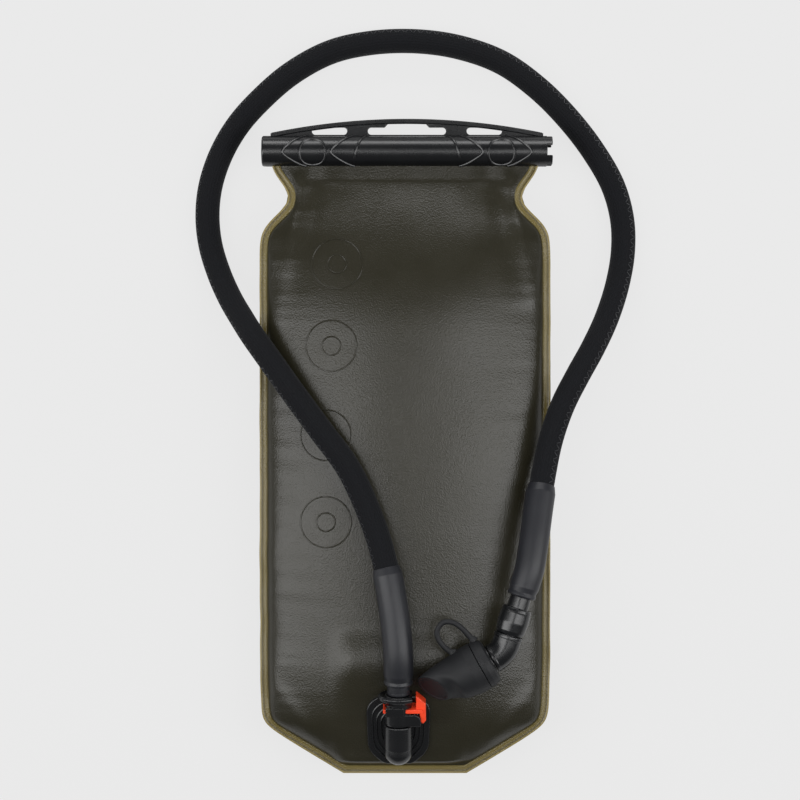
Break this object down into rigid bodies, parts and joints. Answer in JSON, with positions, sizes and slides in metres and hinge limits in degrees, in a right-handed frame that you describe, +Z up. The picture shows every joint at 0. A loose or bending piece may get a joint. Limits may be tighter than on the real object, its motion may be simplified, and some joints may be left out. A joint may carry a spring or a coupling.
{
  "type": "hydration bladder",
  "caption": "Three-litre hydration bladder with slide-bar closure, quick-release insulated hose, swivel elbow and covered bite valve.",
  "frame": {"origin": "bottom centre of everything but the hose, on the surface that the bag lies on", "axes": "+Z up, +Y along the bag from the hose port towards the slide bar, +X to the right seen from the front film"},
  "size_m": [0.2914, 0.4894, 0.087],
  "materials": {
    "tpu_film": "satin",
    "black_plastic": "gloss",
    "orange_plastic": "satin",
    "grey_rubber": "satin",
    "black_rubber": "matte",
    "knit_sleeve": "matte",
    "clear_tube": "gloss",
    "spring_steel": "satin",
    "seal_rubber": "matte",
    "silicone": "satin"
  },
  "bodies": {
    "bag": {"front_panel": "tpu_film", "back_panel": "tpu_film", "mouth_flap": "tpu_film", "closure_rod": "black_plastic", "port_housing": "black_plastic", "coupling_socket": "black_plastic", "button_spring": "spring_steel", "poppet_spring": "spring_steel"},
    "slider": {"slide_bar": "black_plastic"},
    "button": {"release_button": "orange_plastic"},
    "poppet": {"shutoff_poppet": "orange_plastic", "poppet_seal": "seal_rubber"},
    "hose": {"tube_plug": "grey_rubber", "plug_seal": "seal_rubber", "drink_tube": "clear_tube", "insulation_sleeve": "knit_sleeve", "lower_cuff": "grey_rubber", "upper_cuff": "grey_rubber", "swivel_connector": "black_plastic"},
    "elbow": {"swivel_elbow": "black_plastic", "swivel_seal": "seal_rubber", "valve_core": "black_plastic", "cover_collar": "black_rubber", "cap_tether": "black_rubber"},
    "valve": {"valve_body": "black_plastic", "bite_mouthpiece": "silicone"},
    "cap": {"dust_cap": "black_rubber"}
  },
  "joints": [
    {"name": "slider_slide", "type": "slide", "parent": "bag", "child": "slider", "axis": [-1, 0, 0], "range_m": [0, 0.2]},
    {"name": "release_press", "type": "slide", "parent": "bag", "child": "button", "axis": [-1, 0, 0], "range_m": [0, 0.002], "stiffness_N_per_m": 600, "springref_m": -0.001, "deforming": ["button_spring"]},
    {"name": "plug_pull", "type": "slide", "parent": "bag", "child": "hose", "axis": [0, 0.9744, 0.225], "range_m": [0, 0.014]},
    {"name": "poppet_close", "type": "slide", "parent": "bag", "child": "poppet", "axis": [0, 0.9744, 0.225], "range_m": [0, 0.0032], "deforming": ["poppet_spring"]},
    {"name": "elbow_swivel", "type": "hinge", "parent": "hose", "child": "elbow", "pos_m": [0.0624, -0.1303, 0.071], "axis": [0.3007, 0.9537, 0], "range_deg": [0, 180]},
    {"name": "shutoff_twist", "type": "hinge", "parent": "elbow", "child": "valve", "pos_m": [0.0624, -0.1303, 0.071], "axis": [0.8746, 0.4848, 0], "range_deg": [0, 90]},
    {"name": "cap_flip", "type": "hinge", "parent": "elbow", "child": "cap", "pos_m": [0.05803, -0.13272, 0.099], "axis": [0.4848, -0.8746, 0], "range_deg": [-110, 0], "deforming": ["cap_tether"]}
  ],
  "couplings": [
    {"joint": "poppet_close", "follows": "plug_pull", "ratio": 0.22857}
  ]
}
